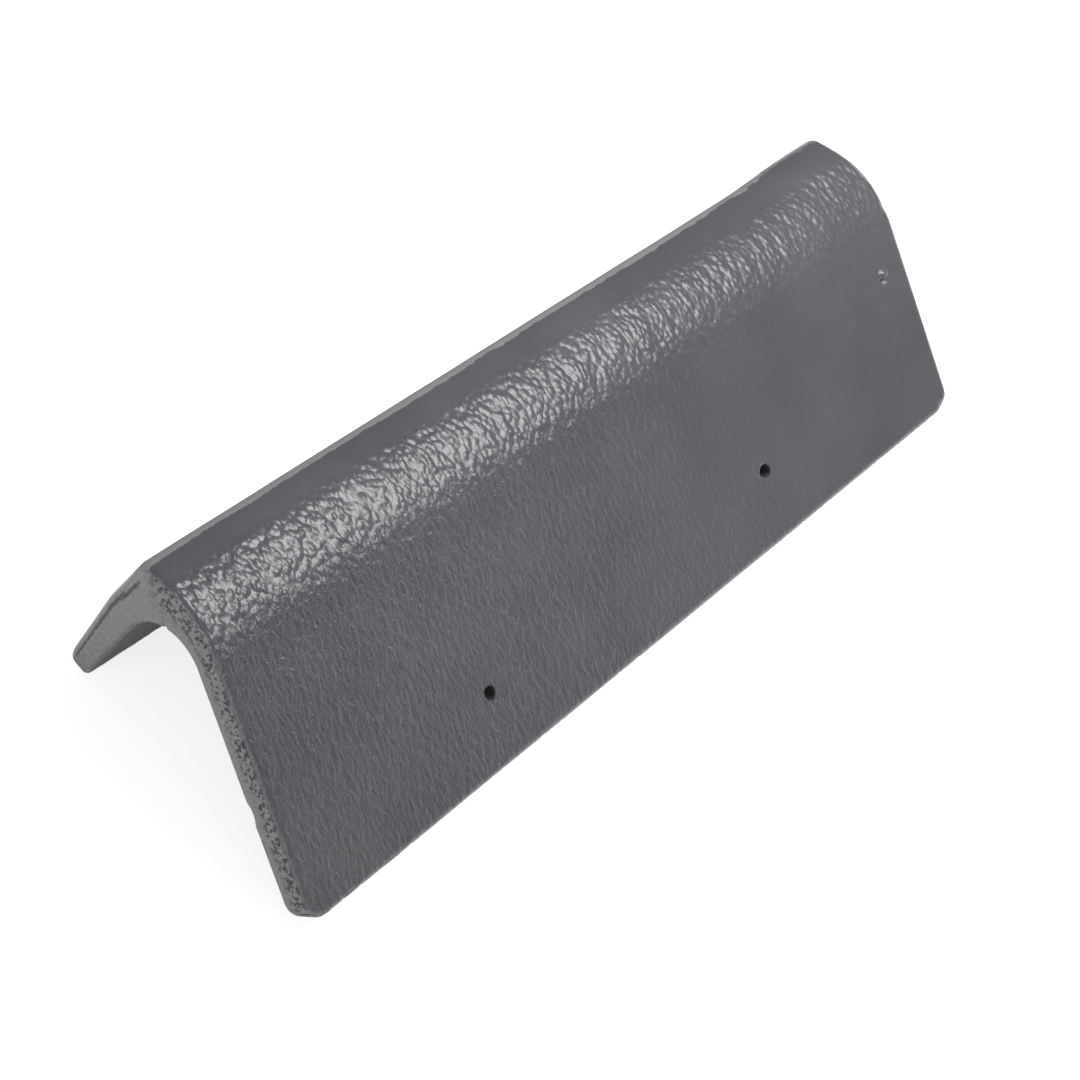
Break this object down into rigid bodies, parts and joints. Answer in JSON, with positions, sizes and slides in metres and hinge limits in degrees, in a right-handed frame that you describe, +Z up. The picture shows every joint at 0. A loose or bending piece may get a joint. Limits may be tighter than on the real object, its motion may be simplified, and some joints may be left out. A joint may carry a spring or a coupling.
{
  "type": "concrete barge tile",
  "caption": "Dark coated concrete barge tile: a long tapered piece bent like a tent, with an upright short leg, a rounded top, a long sloping leg and round nail holes near its toe.",
  "frame": {"origin": "centre of the tile's footprint, on the floor it stands on", "axes": "+X along the tile from the wide near end to the narrow far end, the long leg falls toward -Y, the short leg stands at +Y, +Z up"},
  "size_m": [0.4228, 0.1452, 0.0828],
  "materials": {
    "coated_concrete": "dark slate-grey cast concrete with a satin coat on its outer faces, bare mottled mortar on its ends"
  },
  "bodies": {
    "root": {"barge_tile": "coated_concrete"}
  },
  "joints": []
}
